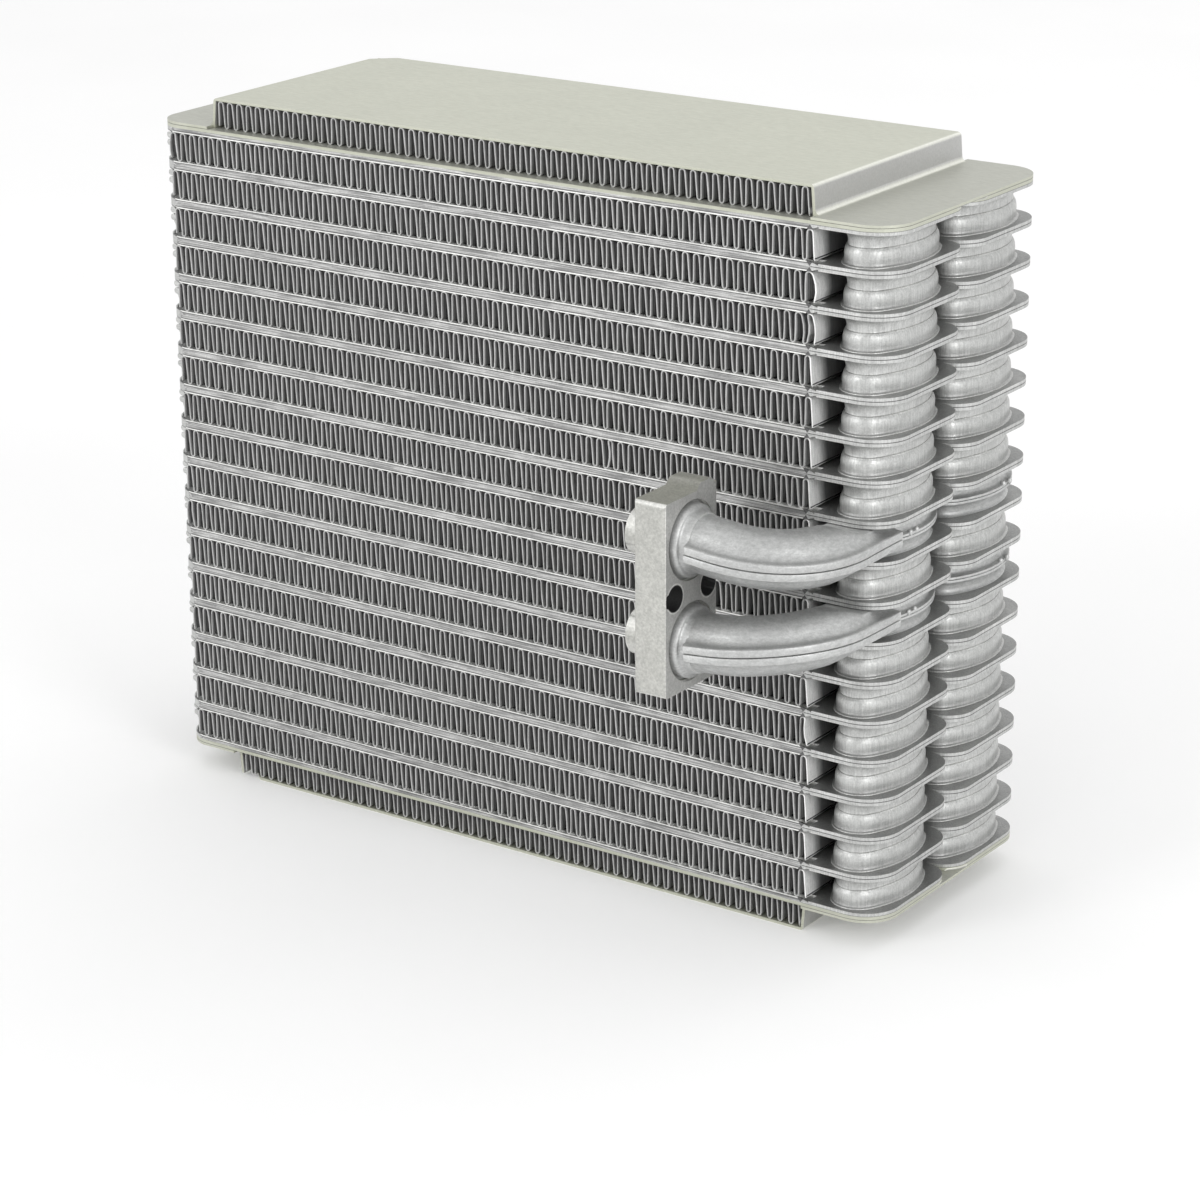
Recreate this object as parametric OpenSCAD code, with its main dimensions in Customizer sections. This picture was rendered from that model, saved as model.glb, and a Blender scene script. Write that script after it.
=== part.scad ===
// Evaporator core made of pressed plates: pairs of plates are flat tubes, folded fins lie between them,
// cups on the plates stack into two tanks, hat-section covers close the ends, and two pipes lead to a block.
// X runs along the tubes with the tanks at +X, Y runs to the back, Z is up from the lower cover's underside.

/* [Core] */
// Number of flat tubes from bottom to top
tube_count = 18; // [14:1:20]
// Height from one flat tube to the next
tube_pitch = 12.7; // [11.7:0.1:15]
// Depth of the core from front to back
core_depth = 93; // [86:1:110]
// Length of the raised part of the end covers
cover_len = 230.5; // [200:0.5:280]
// Length of the tubes beyond the raised part at the closed end
end_overhang = 22.5; // [18:0.5:30]
// Length of the tubes beyond the raised part at the tanks
tank_overhang = 27.9; // [27:0.1:34]

/* [Tube plates] */
// Thickness of the pressed sheet
sheet_t = 0.6; // [0.4:0.05:0.75]
// Height of a flat tube over both plates
tube_h = 3.1; // [2.6:0.1:4]
// Width of the flat rim beside the channel
rim_w = 3; // [2:0.1:5]
// Corner radius at the closed end
end_r = 10; // [6:0.5:14]
// Width of the rib that parts the two passes
divider_w = 4; // [2:0.5:8]
// Length of the chamber where the flow turns back
turn_len = 24; // [15:1:40]
// Thickness of the turned-up edge strip
lip_t = 0.6; // [0.4:0.05:0.8]
// Length over which the edge strip tapers off at the tanks
lip_taper = 3; // [1:0.5:6]
// Width of a spacer tab at the closed end
tab_w = 6; // [4:0.5:10]
// Distance from the front or back edge to the middle of a spacer tab
tab_inset = 12; // [10:0.5:20]
// How far a spacer tab leans out
tab_lean = 3; // [2:0.2:5]
// Radius of the curled tip of a spacer tab
tab_tip_r = 1.1; // [0.8:0.1:1.4]

/* [Tanks] */
// Thickness of one plate at the tanks
flange_t = 1.1; // [0.8:0.05:1.4]
// Width of the flange around a cup
flange_w = 2.9; // [2.6:0.1:5]
// Outer corner radius of the tank flange
flange_r = 12; // [8:0.5:14]
// Radius of the flange beside the notch between the two tanks
notch_r = 9.5; // [6:0.5:12]
// Width of a cup at its base, along X
cup_w = 21.2; // [19:0.1:21.6]
// Length of a cup at its base, along Y
cup_l = 39.6; // [36:0.1:40]
// Radius of a cup's two end arcs at its base
cup_end_r = 7.3; // [6:0.1:8.5]
// How much narrower the cup is at its mouth, on each side
mouth_step = 0.5; // [0.3:0.05:0.8]
// How much the neck steps in from the mouth it stands on
neck_step = 0.35; // [0.2:0.05:0.5]
// Wall of a cup
cup_t = 0.8; // [0.6:0.05:1]
// How far the cup's side bulges
cup_bulge = 0.5; // [0.2:0.05:0.7]
// Radius where the neck flares into its flange
flare_r = 2.2; // [1.5:0.1:2.8]
// Share of the space between two flanges that the neck takes
neck_share = 0.45; // [0.4:0.01:0.55]
// Depth of the passage from the channel into the cup
feed_h = 0.5; // [0.3:0.05:0.7]

/* [Fins] */
// Length of one fin wave
fin_wave = 3.93; // [3.2:0.01:5]
// Thickness of the fin strip
fin_t = 0.3; // [0.2:0.01:0.35]
// Width of a fin bend at mid-sheet
fin_bend = 1.3; // [1:0.05:1.4]
// Gap from the front and back faces to the fins
fin_inset = 0.8; // [0.6:0.1:2]
// Gap from the closed end of the tubes to the fins
fin_end_gap = 6.5; // [4:0.5:10]
// How far the fins reach past the covers' raised part at the tanks
fin_reach = 1.4; // [0.5:0.1:2]
// Height of the fins under the end covers
end_fin_h = 9; // [7:0.1:11]

/* [End covers] */
// Thickness of the cover sheet
cover_t = 0.9; // [0.6:0.05:1.2]
// Distance from the core's faces to the sides of the raised part
cover_inset = 3; // [2:0.1:8]
// Slope of a cover leg over its height
leg_slope = 0.8; // [0:0.1:2]
// Length of the corner cut on the raised part, along X
cut_x = 9; // [4:0.5:15]
// Length of the corner cut on the raised part, along Y
cut_y = 9; // [4:0.5:15]

/* [Valve block] */
// Thickness of the block along X
block_t = 11; // [9:0.5:14]
// Width of the block along Y
block_w = 29; // [28:0.5:36]
// Height of the block
block_h = 61; // [60:0.5:70]
// X position of the block's pipe side
block_x = 94.8; // [80:0.1:100]
// Distance of the port axes in front of the core's front face
port_gap = 31; // [28:0.5:45]
// Height between the two ports
port_pitch = 31.8; // [30:0.1:34]
// Radius of the block's upright edges
block_r = 2; // [1:0.1:4]
// Height of the raised land on top of the block
land_h = 2; // [1:0.1:4]
// Width of the raised land along Y
land_w = 10; // [6:0.5:14]
// Outer diameter of a port spigot
spigot_d = 15; // [14:0.1:16.5]
// Length of a port spigot
spigot_l = 8; // [5:0.1:10]
// Diameter of a port bore
port_d = 12; // [9:0.1:12.6]
// Diameter of the recess that takes the pipe's collar
recess_d = 24.8; // [24:0.1:26]
// Depth of that recess
recess_h = 2.5; // [1.5:0.1:4]
// Diameter of a bolt hole
bolt_d = 8; // [6:0.1:8.4]
// Distance between the two bolt holes
bolt_pitch = 18; // [17.5:0.1:20]

/* [Pipes] */
// Outer diameter of a pipe
pipe_d = 18; // [16:0.1:18.5]
// Wall of a pipe
pipe_t = 1.4; // [1:0.1:2]
// Radius of the pipe's bend at its axis
bend_r = 23; // [16:0.5:24]
// Clearance between a pipe's flattened end and the flanges around it
pipe_gap = 0.15; // [0.1:0.05:0.4]
// Total thickness of the seam rib
rib_h = 6; // [4:0.1:6.4]
// How far the seam rib stands out from the pipe
rib_w = 3; // [2:0.1:3.4]
// Length of the seam rib along the tank flange
rib_run = 12; // [8:0.5:16]
// Diameter of the collar where a pipe meets the block
collar_d = 22.4; // [20:0.1:23]
// How far the collar stands out of the block
collar_h = 1.6; // [1:0.1:3]
// Length of the cone behind the collar
cone_l = 2.4; // [1:0.1:4]
// Thickness of one plate where the pipe spreads between the tanks
manifold_t = 1; // [0.8:0.05:1.2]
// Width of the manifold plate around the cups
manifold_rim = 1.9; // [1.2:0.1:2.4]

/* [Hidden] */
$fn = 48;
eps = 0.01;
tube_half = tube_h / 2;
front_y = -core_depth / 2;
back_y = core_depth / 2;
cover_x = cover_len / 2;
tip_x = -cover_x - end_overhang;
tank_x = cover_x + tank_overhang;

// Cups and their places
cup_x = tank_x - flange_w - cup_w / 2;
cup_y = core_depth / 2 - flange_w - cup_l / 2;
base_a = cup_w / 2;
mouth_a = base_a - mouth_step;
neck_a = mouth_a - neck_step;
bore_a = mouth_a - cup_t;
flange_gap = tube_pitch - 2 * flange_t;
neck_h = flange_gap * neck_share;
dome_h = flange_gap - neck_h;
foot_h = 0.6;
foot_w = 0.7;
notch_fill = 1.2;

// A cup is an oval of four arcs: the end arcs' centres are at cup_e, the side arcs' centres at cup_c
cup_step = base_a - cup_end_r;
cup_e = cup_l / 2 - cup_end_r;
cup_c = (base_a * base_a + cup_l * cup_l / 4 - cup_l * cup_end_r) / (2 * cup_step) - base_a;
cup_turn = atan(cup_e / cup_c);

// Tube ends at the tanks
lip_end_x = cup_x - base_a - 1;
channel_end_x = lip_end_x - lip_taper;
feed_w = core_depth / 2 - rim_w - divider_w / 2 - 2 * sheet_t - 4;
feed_y = [front_y + rim_w + sheet_t + 2, divider_w / 2 + sheet_t + 2];

// Fins
fin_h = tube_pitch - tube_h;
fin_x0 = tip_x + fin_end_gap;
fin_x1 = cover_x + fin_reach;
end_fin_x0 = -cover_x + cover_t + leg_slope;
end_fin_x1 = -end_fin_x0;
end_fin_inset = max(cover_inset, fin_inset) + 0.2;

// Heights
end_stack = flange_t + end_fin_h + cover_t;
function tube_z(k) = end_stack + (tube_count - k) * tube_pitch;
total_h = tube_z(1) + end_stack;

// Pipes leave the tanks between these tubes, counted from the top
upper_row = 8;
lower_row = 10;
// The front tank is closed off in the lower plate of this tube, so that the flow crosses the core
blind_tube = 9;
function gap_z(k) = tube_z(k) - tube_pitch / 2;
port_mid_z = (gap_z(upper_row) + gap_z(lower_row)) / 2;
port_y = front_y - port_gap;
flat_half = flange_gap / 2 - pipe_gap;
duct_y = front_y - 1;
duct_run = 14.5;
flat_w = pipe_d + 2;
bend_y = port_y + bend_r;
bend_x = cup_x - bend_r;
join = 0.5;
cut = 3 * port_gap;

function two_digits(k) = str(k < 10 ? "0" : "", k);
function upper_name(k) = str("tube_", two_digits(k), "_upper_plate");
function lower_name(k) = str("tube_", two_digits(k), "_lower_plate");
function fin_name(k) = str("fin_", two_digits(k));

module at_port(side) translate([block_x, port_y, port_mid_z + side * port_pitch / 2]) children();

// Outline of a plate's core part, drawn in by a margin
module core_outline(margin, end_x) {
    r = end_r - margin;
    half = core_depth / 2 - margin;
    for (s = [-1, 1]) translate([tip_x + end_r, s * (core_depth / 2 - end_r)]) circle(r);
    translate([tip_x + margin, -half + r]) square([end_r, 2 * half - 2 * r]);
    translate([tip_x + end_r, -half]) square([end_x - tip_x - end_r, 2 * half]);
}

// Outline of one tank flange, front half
module lobe_outline() {
    start_x = lip_end_x;
    half = core_depth / 2;
    translate([tank_x - flange_r, -half + flange_r]) circle(flange_r);
    translate([tank_x - notch_r, -notch_r]) circle(notch_r);
    translate([start_x, -half]) square([tank_x - flange_r - start_x, half]);
    translate([start_x, -half + flange_r]) square([tank_x - start_x, half - flange_r - notch_r]);
}

// Outline of both tank flanges, with the notch between them
module tank_outline() {
    difference() {
        union() {
            lobe_outline();
            mirror([0, 1]) lobe_outline();
        }
        translate([tank_x - notch_r, -notch_r]) square([notch_r + 1, 2 * notch_r]);
    }
    for (s = [-1, 1]) translate([tank_x - notch_r, s * notch_r]) circle(notch_r);
    translate([tank_x - notch_r - notch_fill, -notch_fill / 4]) square([2 * notch_fill, notch_fill / 2]);
}

// Outline of the cover flange over the tanks, which has no notch
module cover_tank_outline(start_x) {
    half = core_depth / 2;
    for (s = [-1, 1]) translate([tank_x - flange_r, s * (half - flange_r)]) circle(flange_r);
    translate([start_x, -half]) square([tank_x - flange_r - start_x, 2 * half]);
    translate([start_x, -half + flange_r]) square([tank_x - start_x, 2 * half - 2 * flange_r]);
}

// Cup outline with the given half width
module oval(a) {
    side_y = (a + cup_c) * sin(cup_turn);
    for (s = [-1, 1]) translate([0, s * cup_e]) circle(a - cup_step);
    intersection() {
        translate([-cup_c, 0]) circle(a + cup_c);
        translate([cup_c, 0]) circle(a + cup_c);
        translate([-a - 1, -side_y]) square([2 * a + 2, 2 * side_y]);
    }
}

module at_cups() for (s = [-1, 1]) translate([cup_x, s * cup_y]) children();

// Sweeps a profile, with its half width along X, around a cup
module around_cup() {
    for (s = [0, 1]) mirror([0, s, 0]) translate([0, cup_e, 0]) rotate([0, 0, cup_turn])
        rotate_extrude(angle = 180 - 2 * cup_turn) translate([-cup_step, 0]) children();
    for (s = [0, 1]) mirror([s, 0, 0]) translate([-cup_c, 0, 0]) rotate([0, 0, -cup_turn])
        rotate_extrude(angle = 2 * cup_turn) translate([cup_c, 0]) children();
}

// Bulging cup that rises from a flange to its mouth
module dome_profile(h) {
    side_a = (base_a + mouth_a) / 2 + cup_bulge;
    low = [side_a, h * 0.35];
    high = [side_a - 0.05, h * 0.65];
    polygon([[base_a - cup_t, 0], [base_a + foot_w, 0], [base_a + 0.1, foot_h], low, high, [mouth_a, h],
             [bore_a, h], high - [cup_t, 0], low - [cup_t, 0]]);
}

// Neck that flares into its flange and ends on the mouth of the next cup
module neck_profile(h) {
    inside = bore_a - 0.3;
    translate([inside, 0]) square([neck_a - inside, h]);
    difference() {
        translate([bore_a, 0]) square([neck_a - bore_a + flare_r, flare_r]);
        translate([neck_a + flare_r, flare_r]) circle(flare_r);
    }
}

// Channel outline with the rib between its two passes
module channel_outline(margin) {
    rib = divider_w / 2 + margin;
    difference() {
        core_outline(rim_w + margin, channel_end_x - margin);
        translate([tip_x + turn_len, -rib]) square([channel_end_x - tip_x, 2 * rib]);
    }
}

// Pressed plate that lies on the tube's middle plane and rises along Z
module plate(cup, blind) {
    difference() {
        union() {
            linear_extrude(sheet_t) core_outline(0, lip_end_x + eps);
            linear_extrude(flange_t) tank_outline();
            linear_extrude(tube_half) channel_outline(0);
            edge_lip();
            spacer_tabs();
            feed_humps();
            if (cup == "dome") translate([0, 0, flange_t]) at_cups() around_cup() dome_profile(dome_h);
            if (cup == "neck") translate([0, 0, flange_t]) at_cups() around_cup() neck_profile(neck_h);
        }
        translate([0, 0, -eps]) linear_extrude(tube_half - sheet_t + eps) channel_outline(sheet_t);
        feed_passages();
        for (s = [-1, 1]) translate([cup_x, s * cup_y, blind && s < 0 ? flange_t : -eps])
            linear_extrude(flange_t + (cup == "neck" ? neck_h : 0) + 2 * eps) oval(bore_a);
    }
}

// Turned-up strip around the plate's long edges and closed end, tapered at the tanks
module edge_lip() {
    difference() {
        linear_extrude(tube_half) difference() {
            core_outline(0, lip_end_x);
            core_outline(lip_t, lip_end_x + 1);
        }
        translate([0, back_y + 1, 0]) rotate([90, 0, 0]) linear_extrude(core_depth + 2)
            polygon([[lip_end_x - lip_taper, tube_half], [lip_end_x, sheet_t], [lip_end_x + 1, sheet_t],
                     [lip_end_x + 1, tube_half + 1], [lip_end_x - lip_taper, tube_half + 1]]);
    }
}

// Passages from the two channels into the two cups
module feed_passages() {
    for (y = feed_y) translate([channel_end_x - 2 * sheet_t, y, -eps])
        cube([cup_x - channel_end_x, feed_w, feed_h + eps]);
}

// Raised sheet over those passages
module feed_humps() {
    for (y = feed_y) translate([channel_end_x - sheet_t, y - sheet_t, 0])
        cube([lip_end_x + sheet_t + eps - channel_end_x, feed_w + 2 * sheet_t, flange_t]);
}

// Tabs that lean out from the closed end and stop short of those of the next tube
module spacer_tabs() {
    tip_z = tube_pitch / 2 - tab_tip_r - 0.15;
    tip = tip_x - tab_lean + tab_tip_r;
    for (s = [-1, 1]) translate([0, s * (core_depth / 2 - tab_inset) + tab_w / 2, 0]) rotate([90, 0, 0])
        linear_extrude(tab_w) {
            polygon([[tip_x + lip_t, 0], [tip_x, 0], [tip - 0.3, tip_z], [tip + 0.3, tip_z]]);
            translate([tip, tip_z]) circle(tab_tip_r);
        }
}

// Flat plate that closes the tube and the tanks at either end of the stack
module end_plate() {
    difference() {
        union() {
            linear_extrude(flange_t) core_outline(0, lip_end_x + eps);
            linear_extrude(flange_t) tank_outline();
        }
        translate([0, 0, -eps]) linear_extrude(feed_h + eps) at_cups() oval(bore_a);
    }
}

function cup_above(k) = (k - 1 == upper_row || k - 1 == lower_row) ? "open" : "dome";
function cup_below(k) = (k == upper_row || k == lower_row) ? "open" : "neck";

module upper_plate(k) {
    color([0.72, 0.73, 0.72]) translate([0, 0, tube_z(k)]) plate(cup_above(k), false);
}

module lower_plate(k) {
    color([0.66, 0.67, 0.66]) translate([0, 0, tube_z(k)]) mirror([0, 0, 1])
        plate(cup_below(k), k == blind_tube);
}

// Folded strip with flat-topped waves, from one lower bend to another
module fin_strip(x0, x1, h, inset) {
    b = (fin_bend + fin_t) / 2;
    waves = floor((x1 - x0 - 2 * b) / fin_wave);
    w = (x1 - x0 - 2 * b) / waves;
    start = x0 + b;
    low = [for (i = [0:waves]) let (x = start + i * w) each concat(
        [[x - b, 0], [x + b, 0]],
        i < waves ? [[x + w / 2 - b + fin_t, h - fin_t], [x + w / 2 + b - fin_t, h - fin_t]] : []
    )];
    high = [for (i = [0:waves]) let (x = start + i * w) each concat(
        [[i == 0 ? x - b : x - b + fin_t, fin_t], [i == waves ? x + b : x + b - fin_t, fin_t]],
        i < waves ? [[x + w / 2 - b, h], [x + w / 2 + b, h]] : []
    )];
    last = len(high) - 1;
    translate([0, back_y - inset, 0]) rotate([90, 0, 0]) linear_extrude(core_depth - 2 * inset)
        polygon(concat(low, [for (i = [0:last]) high[last - i]]));
}

module fin(k) {
    color([0.5, 0.51, 0.51]) {
        if (k == 1) translate([0, 0, tube_z(1) + flange_t])
            fin_strip(end_fin_x0, end_fin_x1, end_fin_h, end_fin_inset);
        else if (k == tube_count + 1) translate([0, 0, cover_t])
            fin_strip(end_fin_x0, end_fin_x1, end_fin_h, end_fin_inset);
        else translate([0, 0, tube_z(k) + tube_half]) fin_strip(fin_x0, fin_x1, fin_h, fin_inset);
    }
}

// Hat-section cover brazed to the end plate and rising along Z, with its cut corner at the back
module cover() {
    h = end_fin_h + cover_t;
    half = core_depth / 2 - cover_inset;
    inner = cover_x - cover_t;
    difference() {
        union() {
            linear_extrude(cover_t) {
                core_outline(0, -cover_x);
                cover_tank_outline(cover_x);
            }
            translate([0, half, 0]) rotate([90, 0, 0]) linear_extrude(2 * half) difference() {
                polygon([[-cover_x - eps, 0], [-cover_x + leg_slope, h], [cover_x - leg_slope, h],
                         [cover_x + eps, 0]]);
                polygon([[-inner, -1], [-inner + leg_slope, end_fin_h], [inner - leg_slope, end_fin_h],
                         [inner, -1]]);
            }
        }
        translate([0, 0, end_fin_h - eps]) linear_extrude(2 * cover_t)
            polygon([[-cover_x - 1, half - cut_y], [-cover_x + cut_x + 1, half + 1],
                     [-cover_x - 1, half + 1]]);
    }
}

module top_cover() {
    color([0.8, 0.8, 0.75]) translate([0, 0, tube_z(1)]) {
        end_plate();
        translate([0, 0, flange_t]) cover();
    }
}

// The same pressing turned over end for end in depth, so its cut corner is at the front
module bottom_cover() {
    color([0.8, 0.8, 0.75]) translate([0, 0, tube_z(tube_count)]) rotate([180, 0, 0]) {
        end_plate();
        translate([0, 0, flange_t]) cover();
    }
}

// Block that takes the expansion valve: two spigots, two collar recesses and two bolt holes
module valve_block() {
    color([0.84, 0.84, 0.8]) difference() {
        union() {
            block_body();
            for (s = [-1, 1]) at_port(s) translate([-block_t - spigot_l, 0, 0]) rotate([0, 90, 0])
                cylinder(d = spigot_d, h = spigot_l + 1);
        }
        for (s = [-1, 1]) at_port(s) rotate([0, 90, 0]) {
            translate([0, 0, -block_t - spigot_l - 1]) cylinder(d = port_d, h = block_t + spigot_l + 2);
            translate([0, 0, -recess_h]) cylinder(d = recess_d, h = recess_h + 1);
        }
        for (s = [-1, 1]) translate([block_x - block_t - 1, port_y + s * bolt_pitch / 2, port_mid_z])
            rotate([0, 90, 0]) cylinder(d = bolt_d, h = block_t + 2);
    }
}

// Upright bar with rounded upright edges and a raised land along the top's back edge
module block_body() {
    x0 = block_x - block_t;
    y0 = port_y - block_w / 2;
    z0 = port_mid_z - block_h / 2;
    translate([0, 0, z0]) linear_extrude(block_h) {
        for (x = [x0 + block_r, block_x - block_r], y = [y0 + block_r, y0 + block_w - block_r])
            translate([x, y]) circle(block_r);
        translate([x0 + block_r, y0]) square([block_t - 2 * block_r, block_w]);
        translate([x0, y0 + block_r]) square([block_t, block_w - 2 * block_r]);
    }
    translate([x0, 0, 0]) rotate([90, 0, 90]) linear_extrude(block_t) polygon([
        [y0 + block_w - land_w - land_h, z0 + block_h - eps], [y0 + block_w - land_w, z0 + block_h + land_h],
        [y0 + block_w - block_r - land_h, z0 + block_h + land_h],
        [y0 + block_w - block_r, z0 + block_h - eps]
    ]);
}

// Slope of a pipe's straight and bent runs between its port and its place on the tank
function tilt(side, row) = atan((port_mid_z + side * port_pitch / 2 - gap_z(row)) / (cup_x - block_x));

// One pressed half of a pipe, above the seam for up = 1 and below it for up = -1
module pipe_half(side, row, up) {
    difference() {
        pipe(side, row);
        translate([cup_x, 0, gap_z(row)]) {
            translate([-cut / 2, bend_y, up > 0 ? -cut : 0]) cube([cut, 2 * cut, cut]);
            rotate([0, tilt(side, row), 0]) translate([-cut, bend_y - cut, up > 0 ? -cut : 0])
                cube([2 * cut, cut + 5 * eps, cut]);
        }
    }
}

// Whole pipe with its seam ribs, from the block round a bend into the tanks
module pipe(side, row) {
    tilt = tilt(side, row);
    difference() {
        union() {
            translate([cup_x, 0, gap_z(row)]) {
                rotate([0, tilt, 0]) difference() {
                    run_outer();
                    rotate([0, -tilt, 0]) translate([block_x - cup_x - cut, port_y - cut / 2, -cut / 2])
                        cube([cut + collar_h + 2 * join, cut, cut]);
                }
                flattening(0);
                flat_ribs();
                manifold();
            }
            at_port(side) rotate([0, 90, 0]) translate([0, 0, -recess_h]) {
                cylinder(d = collar_d, h = recess_h + collar_h);
                translate([0, 0, recess_h + collar_h]) cylinder(d1 = collar_d, d2 = pipe_d, h = cone_l);
            }
        }
        translate([cup_x, 0, gap_z(row)]) {
            rotate([0, tilt, 0]) run_inner();
            flattening(pipe_t);
            translate([-cup_x, 0, -flange_gap]) linear_extrude(2 * flange_gap) at_cups() oval(bore_a);
        }
        at_port(side) rotate([0, 90, 0]) translate([0, 0, -recess_h - 1])
            cylinder(d = port_d, h = recess_h + 4);
    }
}

// Outside of the straight and bent runs, in the plane of the seam
module run_outer() {
    run = bend_x - block_x + 4;
    translate([-bend_r - run, port_y, 0]) rotate([0, 90, 0]) cylinder(d = pipe_d, h = run);
    translate([-bend_r - run, port_y, 0]) rotate([90, 0, 90]) linear_extrude(run) rib_section();
    translate([-bend_r, bend_y, 0]) rotate([0, 0, -90]) rotate_extrude(angle = 90) translate([bend_r, 0]) {
        circle(d = pipe_d);
        rib_section();
    }
}

module run_inner() {
    run = bend_x - block_x + 5;
    translate([-bend_r - run, port_y, 0]) rotate([0, 90, 0]) cylinder(d = pipe_d - 2 * pipe_t, h = run);
    translate([-bend_r, bend_y, 0]) rotate([0, 0, -90]) rotate_extrude(angle = 90) translate([bend_r, 0])
        circle(d = pipe_d - 2 * pipe_t);
}

// Lips of both halves, which make a rib on each side of the pipe
module rib_section() {
    w = pipe_d / 2 + rib_w;
    translate([-w, -rib_h / 2]) square([2 * w, rib_h]);
}

// Flattened section that fits between two tank flanges
module flat_section(margin) {
    h = flat_half - margin;
    intersection() {
        circle(d = flat_w - 2 * margin);
        translate([-flat_w, -h]) square([2 * flat_w, 2 * h]);
    }
}

// Pipe that gets wider and flatter in front of the tank, as two planes close in on it
module flattening(margin) {
    r = pipe_d / 2 - margin;
    h = flat_half - margin;
    intersection() {
        translate([0, bend_y - join, 0]) rotate([-90, 0, 0])
            cylinder(d1 = 2 * r - 0.3, d2 = flat_w - 2 * margin, h = duct_y - bend_y + join);
        translate([-flat_w, 0, 0]) rotate([90, 0, 90]) linear_extrude(2 * flat_w)
            polygon([[bend_y - 1, r + 0.1], [bend_y, r + 0.1], [duct_y, h], [duct_y + 1, h],
                     [duct_y + 1, -h], [duct_y, -h], [bend_y, -r - 0.1], [bend_y - 1, -r - 0.1]]);
    }
    translate([0, duct_y, 0]) rotate([-90, 0, 0]) linear_extrude(duct_run)
        flat_section(margin);
}

// Seam ribs beside the flattened run, which go on a little along the tank flanges
module flat_ribs() {
    w = pipe_d / 2 + rib_w;
    translate([-w, bend_y - join, -rib_h / 2]) cube([2 * w, front_y + rib_run - bend_y + join, rib_h]);
}

// Plate pair that the pipe spreads into, with the necks that join the tanks above and below
module manifold() {
    h = flange_gap / 2;
    translate([-cup_x, 0, -manifold_t]) linear_extrude(2 * manifold_t) {
        at_cups() oval(base_a + manifold_rim);
        translate([cup_x - base_a, -cup_y]) square([base_a, 2 * cup_y]);
    }
    for (s = [0, 1]) mirror([0, 0, s]) translate([-cup_x, 0, 0]) at_cups() linear_extrude(h) oval(mouth_a);
}

module upper_pipe_upper_half() color([0.74, 0.75, 0.74]) pipe_half(1, upper_row, 1);
module upper_pipe_lower_half() color([0.7, 0.71, 0.7]) pipe_half(1, upper_row, -1);
module lower_pipe_upper_half() color([0.74, 0.75, 0.74]) pipe_half(-1, lower_row, 1);
module lower_pipe_lower_half() color([0.7, 0.71, 0.7]) pipe_half(-1, lower_row, -1);

top_cover();
bottom_cover();
valve_block();
upper_pipe_upper_half();
upper_pipe_lower_half();
lower_pipe_upper_half();
lower_pipe_lower_half();
for (k = [2:tube_count]) {
    upper_plate(k);
}
for (k = [1:tube_count - 1]) {
    lower_plate(k);
}
for (k = [1:tube_count + 1]) {
    fin(k);
}
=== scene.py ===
import math
import random

import bmesh
import bpy
from mathutils import Matrix, Vector


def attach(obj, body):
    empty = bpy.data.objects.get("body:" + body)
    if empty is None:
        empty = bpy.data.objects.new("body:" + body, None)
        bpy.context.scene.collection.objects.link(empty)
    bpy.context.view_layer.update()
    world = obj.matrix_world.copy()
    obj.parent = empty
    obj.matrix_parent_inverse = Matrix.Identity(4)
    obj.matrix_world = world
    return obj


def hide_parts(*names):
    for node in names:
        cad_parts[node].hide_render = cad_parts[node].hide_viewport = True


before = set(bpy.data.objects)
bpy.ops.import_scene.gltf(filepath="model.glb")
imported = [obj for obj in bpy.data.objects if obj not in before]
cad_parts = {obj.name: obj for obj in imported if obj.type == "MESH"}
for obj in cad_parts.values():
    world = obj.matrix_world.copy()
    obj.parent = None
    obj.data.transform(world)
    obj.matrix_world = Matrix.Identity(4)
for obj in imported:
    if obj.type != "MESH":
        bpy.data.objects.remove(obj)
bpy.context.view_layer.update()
print("frame loaded:", len(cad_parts), "nodes")

mm = 0.001
random.seed(7)

# sizes that several pieces share, in millimetres, as the solids have them
core = {
    "tubes": 18,
    "pitch": 12.7,
    "lowestTube": 11.0,
    "back": 46.5,
    "tubeHalf": 1.55,
    "flange": 1.1,
    "cupX": 129.65,
    "coverX": 115.25,
    "tankX": 115.0,
    "height": 237.9,
}


def tubeZ(k):  # middle plane of a flat tube, counted from the top
    return core["lowestTube"] + (core["tubes"] - k) * core["pitch"]


def toObjectMode():
    if bpy.context.object and bpy.context.object.mode != "OBJECT":
        bpy.ops.object.mode_set(mode="OBJECT")


def clearSelection():
    toObjectMode()
    bpy.ops.object.select_all(action="DESELECT")


def activate(piece):
    clearSelection()
    piece.select_set(True)
    bpy.context.view_layer.objects.active = piece


def startEdit(piece, what="VERT"):
    activate(piece)
    bpy.ops.object.mode_set(mode="EDIT")
    bpy.ops.mesh.select_mode(type=what)


def named(name):
    piece = bpy.context.object
    piece.name = name
    piece.data.name = name
    return piece


def settle(piece):  # the piece's place goes into its mesh
    activate(piece)
    bpy.ops.object.transform_apply(location=True, rotation=True, scale=True)


def addModifier(piece, kind, **settings):
    activate(piece)
    modifier = piece.modifiers.new(kind.title(), kind)
    for key, value in settings.items():
        setattr(modifier, key, value)
    bpy.ops.object.modifier_apply(modifier=modifier.name)


def selectEdges(piece, test):
    mesh = bmesh.from_edit_mesh(piece.data)
    for f in mesh.faces:
        f.select = False
    for e in mesh.edges:
        e.select = bool(test(e.verts[0].co / mm, e.verts[1].co / mm))
    bmesh.update_edit_mesh(piece.data)


def extrudeSelected(x, y, z):
    bpy.ops.mesh.extrude_region_move(TRANSFORM_OT_translate={"value": (x * mm, y * mm, z * mm)})


def finishMesh(piece, angle=35, recalc=True):
    startEdit(piece)
    bpy.ops.mesh.select_all(action="SELECT")
    bpy.ops.mesh.remove_doubles(threshold=0.00001)
    if recalc:
        bpy.ops.mesh.normals_make_consistent(inside=False)
    bpy.ops.object.mode_set(mode="OBJECT")
    bpy.ops.object.shade_smooth_by_angle(angle=math.radians(angle))


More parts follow.
